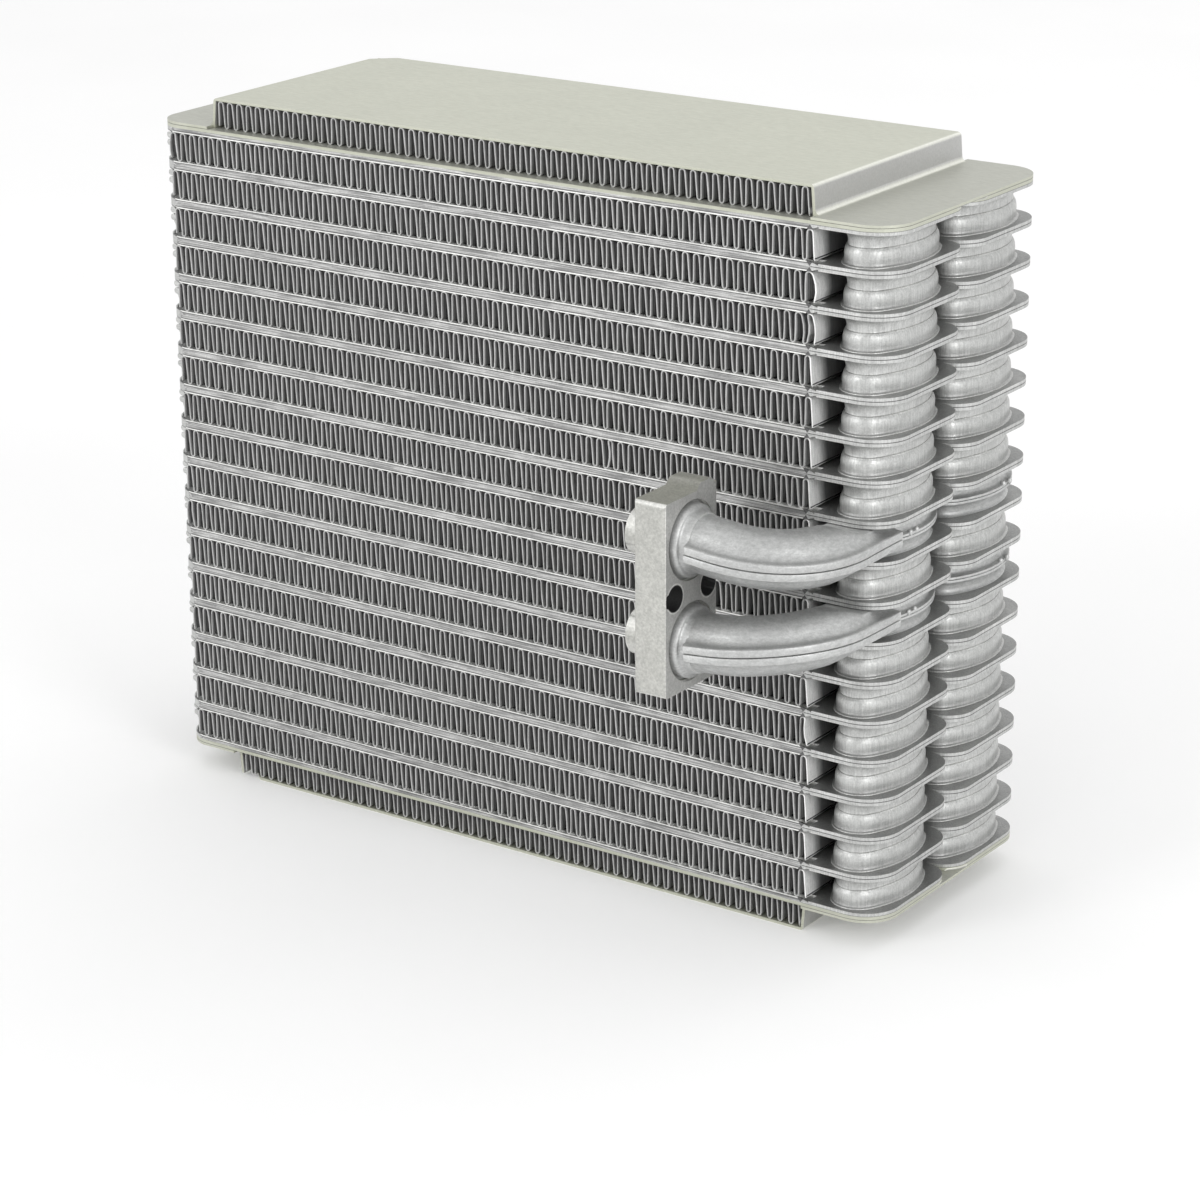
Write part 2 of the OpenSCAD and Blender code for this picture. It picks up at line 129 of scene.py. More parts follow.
def copyPiece(source, name, x=0, y=0, z=0, flipZ=False):
    piece = source.copy()
    piece.data = source.data.copy()
    piece.name = name
    piece.data.name = name
    bpy.context.scene.collection.objects.link(piece)
    if flipZ:
        piece.data.transform(Matrix.Diagonal((1, 1, -1, 1)))
        piece.data.flip_normals()
    piece.data.transform(Matrix.Translation(Vector((x, y, z)) * mm))
    return piece


def joinPieces(pieces, name):
    clearSelection()
    for piece in pieces:
        piece.select_set(True)
    bpy.context.view_layer.objects.active = pieces[0]
    bpy.ops.object.join()
    return named(name)


def removePiece(piece):
    bpy.data.objects.remove(piece)


def dress(piece, material, slot, *nodes):
    piece.data.materials.clear()
    piece.data.materials.append(material)
    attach(piece, "root")
    if nodes:
        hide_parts(*nodes)


def newGroup(name, inputs, outputs):
    group = bpy.data.node_groups.new(name, "ShaderNodeTree")
    for label, kind, value in inputs:
        socket = group.interface.new_socket(name=label, in_out="INPUT", socket_type=kind)
        socket.default_value = value
    for label, kind in outputs:
        group.interface.new_socket(name=label, in_out="OUTPUT", socket_type=kind)
    return group, group.nodes.new("NodeGroupInput"), group.nodes.new("NodeGroupOutput")


def mathNode(tree, operation, a, b=None, clamp=False):
    node = tree.nodes.new("ShaderNodeMath")
    node.operation = operation
    node.use_clamp = clamp
    for socket, value in zip(node.inputs, (a, b)):
        if value is None:
            continue
        if hasattr(value, "is_output"):
            tree.links.new(value, socket)
        else:
            socket.default_value = value
    return node.outputs[0]


def noiseNode(tree, vector, scale, detail=3, roughness=0.5):
    node = tree.nodes.new("ShaderNodeTexNoise")
    node.inputs["Scale"].default_value = scale
    node.inputs["Detail"].default_value = detail
    node.inputs["Roughness"].default_value = roughness
    tree.links.new(vector, node.inputs["Vector"])
    return node.outputs["Fac"]


def rangeNode(tree, value, low, high, toLow=0.0, toHigh=1.0):
    node = tree.nodes.new("ShaderNodeMapRange")
    tree.links.new(value, node.inputs["Value"])
    node.inputs["From Min"].default_value = low
    node.inputs["From Max"].default_value = high
    node.inputs["To Min"].default_value = toLow
    node.inputs["To Max"].default_value = toHigh
    return node.outputs["Result"]


def makeGrain():  # fine rolled or blasted grain and brush marks, for colour, height and roughness
    group, source, sink = newGroup(
        "sheetGrain",
        [("Vector", "NodeSocketVector", (0, 0, 0)), ("Fineness", "NodeSocketFloat", 1.0),
         ("Brush", "NodeSocketVector", (1, 1, 1))],
        [("Height", "NodeSocketFloat"), ("Mottle", "NodeSocketFloat"), ("Streak", "NodeSocketFloat")],
    )
    scaled = group.nodes.new("ShaderNodeVectorMath")
    scaled.operation = "SCALE"
    group.links.new(source.outputs["Vector"], scaled.inputs[0])
    group.links.new(source.outputs["Fineness"], scaled.inputs["Scale"])
    drawn = group.nodes.new("ShaderNodeVectorMath")
    drawn.operation = "MULTIPLY"
    group.links.new(source.outputs["Vector"], drawn.inputs[0])
    group.links.new(source.outputs["Brush"], drawn.inputs[1])
    fine = noiseNode(group, scaled.outputs[0], 2600, 2)
    soft = noiseNode(group, scaled.outputs[0], 420, 3)
    fineShare = mathNode(group, "MULTIPLY", fine, 0.6)
    height = mathNode(group, "ADD", fineShare, mathNode(group, "MULTIPLY", soft, 0.4))
    mottle = noiseNode(group, source.outputs["Vector"], 38, 5, 0.6)
    group.links.new(height, sink.inputs["Height"])
    group.links.new(mottle, sink.inputs["Mottle"])
    group.links.new(noiseNode(group, drawn.outputs[0], 1000, 3, 0.6), sink.inputs["Streak"])
    return group


def makePaintedEdgeLight():  # painted highlight on rims and ridges, painted shade in hollows
    group, source, sink = newGroup(
        "paintedEdgeLightGroup",
        [("Amount", "NodeSocketFloat", 1.0)],
        [("Rim", "NodeSocketFloat"), ("Hollow", "NodeSocketFloat")],
    )
    geometry = group.nodes.new("ShaderNodeNewGeometry")
    rim = rangeNode(group, geometry.outputs["Pointiness"], 0.52, 0.62)
    hollow = rangeNode(group, geometry.outputs["Pointiness"], 0.48, 0.40)
    amount = source.outputs["Amount"]
    group.links.new(mathNode(group, "MULTIPLY", rim, amount, True), sink.inputs["Rim"])
    group.links.new(mathNode(group, "MULTIPLY", hollow, amount, True), sink.inputs["Hollow"])
    return group


sheetGrain = makeGrain()
paintedEdgeLightGroup = makePaintedEdgeLight()


def mixColour(tree, factor, first, second, blend="MIX"):
    node = tree.nodes.new("ShaderNodeMix")
    node.data_type = "RGBA"
    node.blend_type = blend
    for key, value in (("Factor", factor), ("A", first), ("B", second)):
        kind = "VALUE" if key == "Factor" else "RGBA"
        socket = next(s for s in node.inputs if s.name == key and s.type == kind)
        if hasattr(value, "is_output"):
            tree.links.new(value, socket)
        elif key == "Factor":
            socket.default_value = value
        else:
            socket.default_value = (*value, 1)
    return next(s for s in node.outputs if s.type == "RGBA")


def band(tree, value, low, high, soft=0.00005):  # 1 between low and high, else 0
    up = rangeNode(tree, value, low - soft, low + soft)
    down = rangeNode(tree, value, high - soft, high + soft, 1.0, 0.0)
    return mathNode(tree, "MULTIPLY", up, down)


def both(tree, first, *others):
    for other in others:
        first = mathNode(tree, "MULTIPLY", first, other)
    return first


def onTank(tree, spot):  # 1 past the tubes' ends, where the tanks begin
    return rangeNode(tree, spot["X"], core["tankX"] * mm, (core["tankX"] + 0.6) * mm)


def makeMetal(name, look, marks=None):
    material = bpy.data.materials.new(name)
    material.use_nodes = True
    tree = material.node_tree
    shader = tree.nodes["Principled BSDF"]
    place = tree.nodes.new("ShaderNodeTexCoord").outputs["Object"]
    spot = tree.nodes.new("ShaderNodeSeparateXYZ")
    tree.links.new(place, spot.inputs[0])
    facing = tree.nodes.new("ShaderNodeSeparateXYZ")
    tree.links.new(tree.nodes.new("ShaderNodeNewGeometry").outputs["Normal"], facing.inputs[0])
    grain = tree.nodes.new("ShaderNodeGroup")
    grain.node_tree = sheetGrain
    grain.inputs["Fineness"].default_value = look["fineness"]
    grain.inputs["Brush"].default_value = look["brush"]
    if "cupBrush" in look:  # brushed along the tubes, and up and down on the tanks
        turn = tree.nodes.new("ShaderNodeMix")
        turn.data_type = "VECTOR"
        tree.links.new(onTank(tree, spot.outputs), turn.inputs["Factor"])
        vectors = [socket for socket in turn.inputs if socket.type == "VECTOR"]
        vectors[-2].default_value, vectors[-1].default_value = look["brush"], look["cupBrush"]
        turned = next(socket for socket in turn.outputs if socket.type == "VECTOR")
        tree.links.new(turned, grain.inputs["Brush"])
    tree.links.new(place, grain.inputs["Vector"])
    paintedEdgeLight = tree.nodes.new("ShaderNodeGroup")
    paintedEdgeLight.node_tree = paintedEdgeLightGroup
    paintedEdgeLight.inputs["Amount"].default_value = look["paintedEdgeLight"]
    mottle = rangeNode(tree, grain.outputs["Mottle"], 0.3, 0.7)
    colour = mixColour(tree, mottle, look["dull"], look["colour"])
    # painted highlight on rims and ridges, painted shade in hollows
    colour = mixColour(tree, paintedEdgeLight.outputs["Rim"], colour, look["bright"])
    colour = mixColour(tree, paintedEdgeLight.outputs["Hollow"], colour, look["dark"])
    for mask, tone in marks(tree, spot.outputs, facing.outputs, grain.outputs["Streak"]) if marks else ():
        colour = mixColour(tree, mask, colour, look[tone] if isinstance(tone, str) else tone)
    low, high = 1 - look["speckle"], 1 + look["speckle"]
    speckle = rangeNode(tree, grain.outputs["Height"], 0.4, 0.6, low, high)
    colour = mixColour(tree, 1.0, colour, speckle, "MULTIPLY")
    low, high = 1 - look["streak"], 1 + look["streak"]
    streak = rangeNode(tree, grain.outputs["Streak"], 0.36, 0.64, low, high)
    colour = mixColour(tree, 1.0, colour, streak, "MULTIPLY")
    tree.links.new(colour, shader.inputs["Base Color"])
    rough = rangeNode(tree, grain.outputs["Streak"], 0.3, 0.7, look["rough"] + 0.07, look["rough"] - 0.06)
    tree.links.new(rough, shader.inputs["Roughness"])
    shader.inputs["Metallic"].default_value = look["metal"]
    drawn = mathNode(tree, "MULTIPLY", grain.outputs["Streak"], 0.7)
    height = mathNode(tree, "ADD", grain.outputs["Height"], drawn)
    bump = tree.nodes.new("ShaderNodeBump")
    bump.inputs["Strength"].default_value = look["bump"]
    bump.inputs["Distance"].default_value = 0.0002
    tree.links.new(height, bump.inputs["Height"])
    tree.links.new(bump.outputs["Normal"], shader.inputs["Normal"])
    return material


def slanted(tree, facing):  # 1 on a fillet between a flat top and an upright side
    square = mathNode(tree, "MULTIPLY", facing["Z"], facing["Z"])
    rest = mathNode(tree, "SUBTRACT", 1.0, square)
    return mathNode(tree, "MULTIPLY", mathNode(tree, "MULTIPLY", square, rest), 4.0, True)


def flat(tree, facing):  # 1 where the face looks straight up or down
    return rangeNode(tree, mathNode(tree, "ABSOLUTE", facing["Z"]), 0.9, 0.98)


# where the marks lie, in metres; pale and stripe are bounds in the streak noise
plateMark = {
    "rim": (0.0459, 0.0461), "leftTip": (-0.1346, -0.1340), "leftEnd": (-0.1330, -0.1326, 1.0, 0.0),
    "seam": (0.00006, 0.0002, 1.0, 0.0), "pale": (0.5, 0.58), "stripe": (0.49, 0.42),
    "groove": (0.00084, 0.00112), "lip": (0.00113, 0.00121),
    "tankEdge": (0.00080, 0.00112), "tankTop": (0.00095, 0.00115),
    "step": (0.00122, 0.0013), "cupFoot": (0.0012, 0.0021, 0.0003), "endShade": (0.0004, 0.0030),
    "notchX": 0.1151, "notchSlope": 1.3, "notch": (0.00005, 0.0002),
}


def plateMarks(tree, spot, facing, streak):
    # away is the distance from the tube's middle plane, and above is the height over it
    mark = plateMark
    fromLowest = mathNode(tree, "SUBTRACT", spot["Z"], core["lowestTube"] * mm)
    away = mathNode(tree, "PINGPONG", fromLowest, core["pitch"] / 2 * mm)
    tank = onTank(tree, spot)
    tube = mathNode(tree, "SUBTRACT", 1.0, tank)
    rim = rangeNode(tree, mathNode(tree, "ABSOLUTE", spot["Y"]), *mark["rim"])
    inner = both(tree, mathNode(tree, "SUBTRACT", 1.0, rim), rangeNode(tree, spot["X"], *mark["leftTip"]))
    lift = (core["pitch"] - core["lowestTube"]) * mm
    above = mathNode(tree, "MODULO", mathNode(tree, "ADD", spot["Z"], lift), core["pitch"] * mm)
    upright = mathNode(tree, "SUBTRACT", 1.0, flat(tree, facing))
    leftEnd = rangeNode(tree, spot["X"], *mark["leftEnd"])
    beside = mathNode(tree, "ABSOLUTE", mathNode(tree, "SUBTRACT", spot["X"], mark["notchX"]))
    notch = mathNode(tree, "SUBTRACT", away, mathNode(tree, "MULTIPLY", beside, mark["notchSlope"]))
    yield both(tree, rangeNode(tree, away, *mark["seam"]), tank), "dark"
    yield both(tree, tube, rim), "front"
    yield both(tree, rangeNode(tree, streak, *mark["pale"]), tube, rim, 0.65), "pale"
    yield both(tree, rangeNode(tree, streak, *mark["stripe"]), tube, rim, 0.55), "stripe"
    # painted shadow: a dark line in the groove under each lip
    yield both(tree, band(tree, away, *mark["groove"]), tube, rim, 0.85), "dark"
    # painted highlight along the lip edges
    yield both(tree, rangeNode(tree, away, *mark["lip"]), tube, rim), "bright"
    # painted highlight on the rounded flange edges at the tanks
    yield both(tree, band(tree, away, *mark["tankEdge"]), tank, slanted(tree, facing)), "bright"
    # painted shade on the flat flange tops at the tanks
    yield both(tree, band(tree, away, *mark["tankTop"]), tank, flat(tree, facing), 0.55), "dark"
    # painted shade on the tube's top behind the lip, between the fin bends
    yield both(tree, rangeNode(tree, away, *mark["step"]), tube, inner, 0.85), "dark"
    yield both(tree, band(tree, above, *mark["cupFoot"]), tank, upright, 0.55), "shade"
    yield both(tree, band(tree, above, *mark["endShade"]), leftEnd, rim, 0.9), "dark"
    # painted shade standing for a shadowed notch near the band's right end
    yield both(tree, rangeNode(tree, notch, *mark["notch"]), rim, 0.95), "dark"


finMark = {"shadeBehind": (0.0008, 0.0003), "louvre": 0.0011, "slit": (-0.4, 0.8), "shadow": (0.0415, 0.037)}


def finMarks(tree, spot, edge):  # painted shade behind the front edge, with painted shade in the louvres as fine dark slits
    deep = mathNode(tree, "ABSOLUTE", spot["Y"])
    start, end = finMark["shadeBehind"]
    inside = rangeNode(tree, deep, edge - start, edge - end, 1.0, 0.0)
    slit = mathNode(tree, "SINE", mathNode(tree, "MULTIPLY", spot["Y"], 2 * math.pi / finMark["louvre"]))
    slit = rangeNode(tree, slit, *finMark["slit"])
    last = onTank(tree, spot)
    inside = both(tree, inside, mathNode(tree, "SUBTRACT", 1.0, last))
    # painted shade inside the fin pack, behind the front edge
    yield inside, "inner"
    # painted shade in the louvre slits
    yield both(tree, inside, slit), "slit"
    # painted light on the last leg's broad end face, as if lit from the right
    yield last, "last"
    # painted shadow on that end face, deeper back towards the cups
    yield both(tree, last, rangeNode(tree, deep, *finMark["shadow"])), "slit"


coverMark = {
    "leg": (0.9, 1.1, 0.05), "legAbove": (0.1100, 0.1104), "upright": (0.4, 0.7, 1.0, 0.0),
    "seam": (0.10896, 0.10914),
}


def coverMarks(tree, spot, facing, streak):  # grey legs, darker flat faces on the feet, painted highlight on the bends
    leg = band(tree, mathNode(tree, "ABSOLUTE", facing["X"]), *coverMark["leg"])
    across = mathNode(tree, "ABSOLUTE", mathNode(tree, "SUBTRACT", spot["Z"], core["height"] / 2 * mm))
    upright = rangeNode(tree, mathNode(tree, "ABSOLUTE", facing["Z"]), *coverMark["upright"])
    yield both(tree, flat(tree, facing), rangeNode(tree, across, *coverMark["legAbove"][::-1])), "foot"
    yield both(tree, leg, rangeNode(tree, across, *coverMark["legAbove"])), "leg"
    # painted highlight on the rounded bends
    yield both(tree, slanted(tree, facing), 0.7), "bright"
    yield both(tree, band(tree, across, *coverMark["seam"]), upright), "dark"


blockMark = {
    "y": -0.0775, "z": 0.11895, "aside": 0.009, "rim": (0.00425, 0.0047, 0.0001),
    "hole": (0.00408, 0.00422, 1.0, 0.0), "inHole": (0.045, 0.045, 0.045),
}


def blockMarks(tree, spot, facing, streak):  # painted shade on the top and the side facing +X, painted highlights on the rounds and on rims round the bolt holes, painted shade inside the holes
    mark = blockMark
    side = mathNode(tree, "ABSOLUTE", mathNode(tree, "SUBTRACT", spot["Y"], mark["y"]))
    y = mathNode(tree, "SUBTRACT", side, mark["aside"])
    z = mathNode(tree, "SUBTRACT", spot["Z"], mark["z"])
    square = mathNode(tree, "ADD", mathNode(tree, "MULTIPLY", y, y), mathNode(tree, "MULTIPLY", z, z))
    radius = mathNode(tree, "SQRT", square)
    # painted shade: the top darker, as the light falls
    yield both(tree, flat(tree, facing), 0.8), "top"
    # painted shade on the side facing +X
    yield both(tree, rangeNode(tree, facing["X"], 0.8, 0.98), 0.85), "side"
    # painted highlight on the rounds
    yield slanted(tree, facing), "bright"
    # painted highlight on the rims round the bolt holes
    yield both(tree, band(tree, radius, *mark["rim"]), 0.7), "bright"
    # painted shade inside the bolt holes
    yield rangeNode(tree, radius, *mark["hole"]), mark["inHole"]


plateLook = {
    "colour": (0.56, 0.565, 0.555), "dull": (0.50, 0.505, 0.495), "bright": (0.84, 0.84, 0.82),
    "dark": (0.12, 0.12, 0.12), "rough": 0.46, "metal": 0.85, "fineness": 0.8, "paintedEdgeLight": 0.5, "bump": 0.45,
    "front": (0.42, 0.42, 0.415), "pale": (0.62, 0.62, 0.61),
    "stripe": (0.2, 0.2, 0.2), "brush": (0.07, 3.0, 3.0), "cupBrush": (2.0, 2.0, 0.12), "speckle": 0.09,
    "streak": 0.1, "shade": (0.3, 0.3, 0.295),
}
# inner and slit are painted shade colours, last is a painted light colour
finLook = {
    "colour": (0.47, 0.47, 0.465), "dull": (0.39, 0.39, 0.385), "bright": (0.66, 0.66, 0.65),
    "dark": (0.3, 0.3, 0.3), "inner": (0.36, 0.36, 0.36), "slit": (0.18, 0.18, 0.18),
    "last": (0.93, 0.93, 0.92), "rough": 0.5, "metal": 0.35,
    "fineness": 1.0, "paintedEdgeLight": 0.3, "bump": 0.1, "brush": (2.0, 2.0, 0.2), "speckle": 0.06, "streak": 0.1,
}
coverLook = {
    "colour": (0.53, 0.54, 0.45), "dull": (0.50, 0.51, 0.425), "bright": (0.80, 0.80, 0.76),
    "leg": (0.50, 0.50, 0.49), "dark": (0.16, 0.16, 0.14), "foot": (0.47, 0.475, 0.425),
    "rough": 0.5, "metal": 0.7, "fineness": 0.8, "paintedEdgeLight": 0.2, "bump": 0.15,
    "brush": (0.3, 1.6, 1.6), "speckle": 0.02, "streak": 0.03,
}
blockLook = {
    "colour": (0.53, 0.53, 0.50), "dull": (0.46, 0.46, 0.435), "bright": (0.74, 0.74, 0.71),
    "top": (0.34, 0.34, 0.29), "side": (0.42, 0.42, 0.41), "dark": (0.36, 0.36, 0.34),
    "rough": 0.52, "metal": 0.6, "fineness": 0.6, "paintedEdgeLight": 0.3, "bump": 0.7, "brush": (1.2, 1.2, 1.2),
    "speckle": 0.08, "streak": 0.08,
}
pipeLook = {
    "colour": (0.53, 0.535, 0.53), "dull": (0.46, 0.465, 0.46), "bright": (0.82, 0.83, 0.81),
    "dark": (0.3, 0.3, 0.3), "rough": 0.5, "metal": 0.8, "fineness": 0.7, "paintedEdgeLight": 0.4, "bump": 0.45,
    "brush": (0.5, 0.5, 1.4), "speckle": 0.07, "streak": 0.08,
}
plateMetal = makeMetal("brazedPlate", plateLook, plateMarks)
finMetal = makeMetal("finStrip", finLook, lambda tree, spot, *rest: finMarks(tree, spot, 0.04615))
endFinMetal = makeMetal("endFinStrip", finLook, lambda tree, spot, *rest: finMarks(tree, spot, 0.0431))
coverMetal = makeMetal("coverSheet", coverLook, coverMarks)
blockMetal = makeMetal("blastedBlock", blockLook, blockMarks)
pipeMetal = makeMetal("pressedPipe", pipeLook)
print("materials made")

fin = {
    "wave": 3.93, "strip": 0.4, "lowBend": 0.7, "highBend": 0.94, "leftLean": 0.6, "rightLean": 0.05,
    "bendSteps": 5, "legSteps": 3, "inset": 0.35, "wobble": 0.1,
    "dents": (
        (2, -131.0, 2.4, -0.8), (3, 117.0, 3.0, 1.3), (4, 114.5, 5.0, 0.9), (8, 43.1, 1.3, 1.0),
        (12, -130.5, 2.5, -0.7), (14, 116.5, 3.0, -0.8), (15, -130.5, 2.5, -0.6),
    ),
}


def makeFin(name, left, right, waves, height, depth):
    low, high, strip = fin["lowBend"], fin["highBend"], fin["strip"]
    bpy.ops.mesh.primitive_plane_add(size=1)
    piece = named(name)
    piece.data.transform(Matrix.Diagonal((0, depth * mm, 0, 1)))
    startEdit(piece)
    bpy.ops.mesh.select_all(action="SELECT")
    bpy.ops.mesh.remove_doubles(threshold=0.00001)
    legs, count = fin["legSteps"], fin["bendSteps"]
    arc = [math.pi * i / count for i in range(count + 1)]
    rise = height - strip - low - high
    steps = [(fin["rightLean"] / legs, rise / legs)] * legs
    for a, b in zip(arc, arc[1:]):
        steps.append((high * (math.cos(a) - math.cos(b)), high * (math.sin(b) - math.sin(a))))
    steps += [(fin["leftLean"] / legs, -rise / legs)] * legs
    for a, b in zip(arc, arc[1:]):
        steps.append((low * (math.cos(a) - math.cos(b)), low * (math.sin(a) - math.sin(b))))
    for x, z in steps:
        extrudeSelected(x, 0, z)
    bpy.ops.object.mode_set(mode="OBJECT")
    addModifier(
        piece, "ARRAY", count=waves, use_relative_offset=False, use_constant_offset=True,
        constant_offset_displace=(fin["wave"] * mm, 0, 0), use_merge_vertices=True, merge_threshold=0.00002,
    )
    addModifier(piece, "SOLIDIFY", thickness=strip * mm, offset=0)
    piece.data.transform(Matrix.Translation(Vector((0, 0, low + strip / 2)) * mm))
    startEdit(piece)
    bpy.ops.mesh.select_all(action="SELECT")
    end = (fin["wave"] * waves - 2 * low + strip / 2) * mm
    bpy.ops.mesh.bisect(plane_co=(end, 0, 0), plane_no=(1, 0, 0), use_fill=True, clear_outer=True)
    bpy.ops.object.mode_set(mode="OBJECT")
    first, last = min(v.co.x for v in piece.data.vertices), max(v.co.x for v in piece.data.vertices)
    stretch = Matrix.Diagonal(((right - left) * mm / (last - first), 1, 1, 1))
    start = Matrix.Translation((left * mm, 0, 0))
    piece.data.transform(start @ stretch @ Matrix.Translation((-first, 0, 0)))
    return piece


def settleFin(piece, height, seed):  # folds are a little uneven, and some legs are bowed at the front
    dice = random.Random(seed)
    shifts = [dice.gauss(0, fin["wobble"]) for _ in range(160)]
    base = min(v.co.z for v in piece.data.vertices)
    for v in piece.data.vertices:
        place = (v.co.x / mm + 140) / (fin["wave"] / 2)
        leg, part = int(place), place - int(place)
        z = (v.co.z - base) / mm / height
        bulge = 4 * z * (1 - z)
        bow = shifts[leg] * (1 - part) + shifts[leg + 1] * part
        shift = bow * (0.6 + 0.8 * bulge)
        for row, x, reach, amount in fin["dents"]:
            if row == seed and v.co.y < 0 and abs(v.co.x / mm - x) < reach:
                shift += amount * bulge * (1 - (v.co.x / mm - x) ** 2 / reach ** 2)
        v.co.x += shift * mm


halfDepth = core["back"] - fin["inset"]
fullFin = makeFin("fullFin", -131.2, 116.9, 63, 9.6, 2 * halfDepth)
endFin = makeFin("endFin", -113.1, 113.1, 58, 9.0, 86.2)
finishMesh(fullFin, 50)
finishMesh(endFin, 50)
for k in range(2, 19):
    shift = random.uniform(-0.35, 0.35)
    piece = copyPiece(fullFin, f"finRow{k:02d}", x=shift, z=tubeZ(k) + core["tubeHalf"])
    settleFin(piece, 9.6, k)
    dress(piece, finMetal, "fin", f"fin_{k:02d}")
top = copyPiece(endFin, "finRow01", z=tubeZ(1) + core["flange"])
low = copyPiece(endFin, "finRow19", z=0.9)
settleFin(top, 9.0, 101)
settleFin(low, 9.0, 119)
dress(top, endFinMetal, "fin", "fin_01")
dress(low, endFinMetal, "fin", "fin_19")
removePiece(fullFin)
removePiece(endFin)
print("fins folded")

cup = {
    "segments": 60, "base": 10.6, "endRadius": 7.3, "length": 39.6, "y": 23.8,
    "dome": [
        (11.75, -0.3), (11.75, 0.12), (11.62, 0.3), (11.35, 0.38), (11.1, 0.48), (10.95, 0.75),
        (10.93, 1.4), (11.0, 2.2), (11.02, 3.0), (10.95, 3.8), (10.75, 4.6), (10.5, 5.15), (10.3, 5.4),
        (10.22, 5.62), (10.05, 5.74), (9.3, 5.74), (9.3, -0.3),
    ],
    "neck": [
        (13.2, -0.3), (13.15, 0.06), (12.4, 0.2), (11.6, 0.52), (10.9, 1.05), (10.4, 1.75), (10.08, 2.6),
        (9.95, 3.4), (9.9, 4.1), (9.95, 4.45), (9.98, 4.62), (9.85, 4.75), (9.3, 4.75), (9.3, -0.3),
    ],
    "spread": [
        (12.15, 0.04), (12.45, 0.14), (12.5, 0.5), (12.45, 0.86), (12.2, 1.0), (11.4, 1.04), (10.8, 1.3),
        (10.4, 1.9), (10.2, 2.7), (10.15, 3.8), (10.3, 4.5), (10.9, 5.05), (11.3, 5.22), (9.3, 5.22),
        (9.3, 0.04),
    ],
}


def ovalPlace(x, y, half):  # point of the four-arc oval where it faces the way that (x, y) points
    step = cup["base"] - cup["endRadius"]
    endY = cup["length"] / 2 - cup["endRadius"]
    reach = cup["base"] ** 2 + cup["length"] ** 2 / 4 - cup["length"] * cup["endRadius"]
    sideX = reach / (2 * step) - cup["base"]
    turn = math.atan2(abs(y), abs(x))
    if turn < math.atan2(endY, sideX):
        outX, outY = (half + sideX) * math.cos(turn) - sideX, (half + sideX) * math.sin(turn)
    else:
        outX, outY = (half - step) * math.cos(turn), endY + (half - step) * math.sin(turn)
    return math.copysign(outX, x), math.copysign(outY, y)


def makeCup(name, profile):
    count = cup["segments"]
    bpy.ops.mesh.primitive_circle_add(
        vertices=count, radius=profile[0][0] * mm, location=(0, 0, profile[0][1] * mm),
        rotation=(0, 0, math.pi / count),
    )
    piece = named(name)
    settle(piece)
    startEdit(piece)
    bpy.ops.mesh.select_all(action="SELECT")
    before = profile[0]
    for ring in profile[1:] + profile[:1]:
        extrudeSelected(0, 0, ring[1] - before[1])
        scale = ring[0] / before[0]
        bpy.ops.transform.resize(value=(scale, scale, 1), center_override=(0, 0, ring[1] * mm))
        before = ring
    bpy.ops.object.mode_set(mode="OBJECT")
    for v in piece.data.vertices:
        x, y = ovalPlace(v.co.x, v.co.y, math.hypot(v.co.x, v.co.y) / mm)
        v.co.x, v.co.y = x * mm, y * mm
    finishMesh(piece, 40)
    return piece


def cupPair(source, name, z, flipZ):
    pair = [copyPiece(source, name, core["cupX"], side * cup["y"], 0, flipZ) for side in (1, -1)]
    for piece in pair:
        piece.data.transform(Matrix.Translation((0, 0, z * mm)))
    return joinPieces(pair, name)


dome = makeCup("domeCup", cup["dome"])
neck = makeCup("neckCup", cup["neck"])
spread = makeCup("spreadCup", cup["spread"])
print("cups turned")

plate = {"edge": 0.2, "edgeSteps": 3, "lipFrom": 1.0, "lipSlope": 0.1, "sink": 0.16}


def mergedCopy(node, name):
    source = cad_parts[node]
    piece = source.copy()
    piece.data = source.data.copy()
    piece.parent = None
    for key in list(piece.keys()):
        del piece[key]
    bpy.context.scene.collection.objects.link(piece)
    piece.name = name
    piece.data.name = name
    piece.hide_render = False
    piece.hide_viewport = False
    piece.matrix_world = Matrix.Identity(4)
    startEdit(piece)
    bpy.ops.mesh.select_all(action="SELECT")
    bpy.ops.mesh.remove_doubles(threshold=0.000002)
    bpy.ops.mesh.dissolve_limited(angle_limit=math.radians(1))
    bpy.ops.object.mode_set(mode="OBJECT")
    return piece


def sinkFront(piece, middle):  # the band between the lips lies a little behind them
    for height in (plate["lipFrom"], plate["lipFrom"] + plate["lipSlope"]):
        startEdit(piece)
        bpy.ops.mesh.select_all(action="SELECT")
        side = 1 if piece.data.vertices[0].co.z > middle * mm else -1
        bpy.ops.mesh.bisect(plane_co=(0, 0, (middle + side * height) * mm), plane_no=(0, 0, 1))
        bpy.ops.object.mode_set(mode="OBJECT")
    for v in piece.data.vertices:
        inBand = abs(v.co.z / mm - middle) < plate["lipFrom"] + 0.02 and v.co.x / mm < core["coverX"]
        if inBand and abs(abs(v.co.y / mm) - core["back"]) < 0.02:
            v.co.y -= math.copysign(plate["sink"] * mm, v.co.y)


def fromNode(node, name, edge, steps, angle=40, change=None):
    piece = mergedCopy(node, name)
    if change:
        change(piece)
    addModifier(
        piece, "BEVEL", width=edge * mm, segments=steps, limit_method="ANGLE",
        angle_limit=math.radians(angle), use_clamp_overlap=True,
    )
    finishMesh(piece, 40, recalc=False)
    addModifier(piece, "WEIGHTED_NORMAL", keep_sharp=True)
    return piece


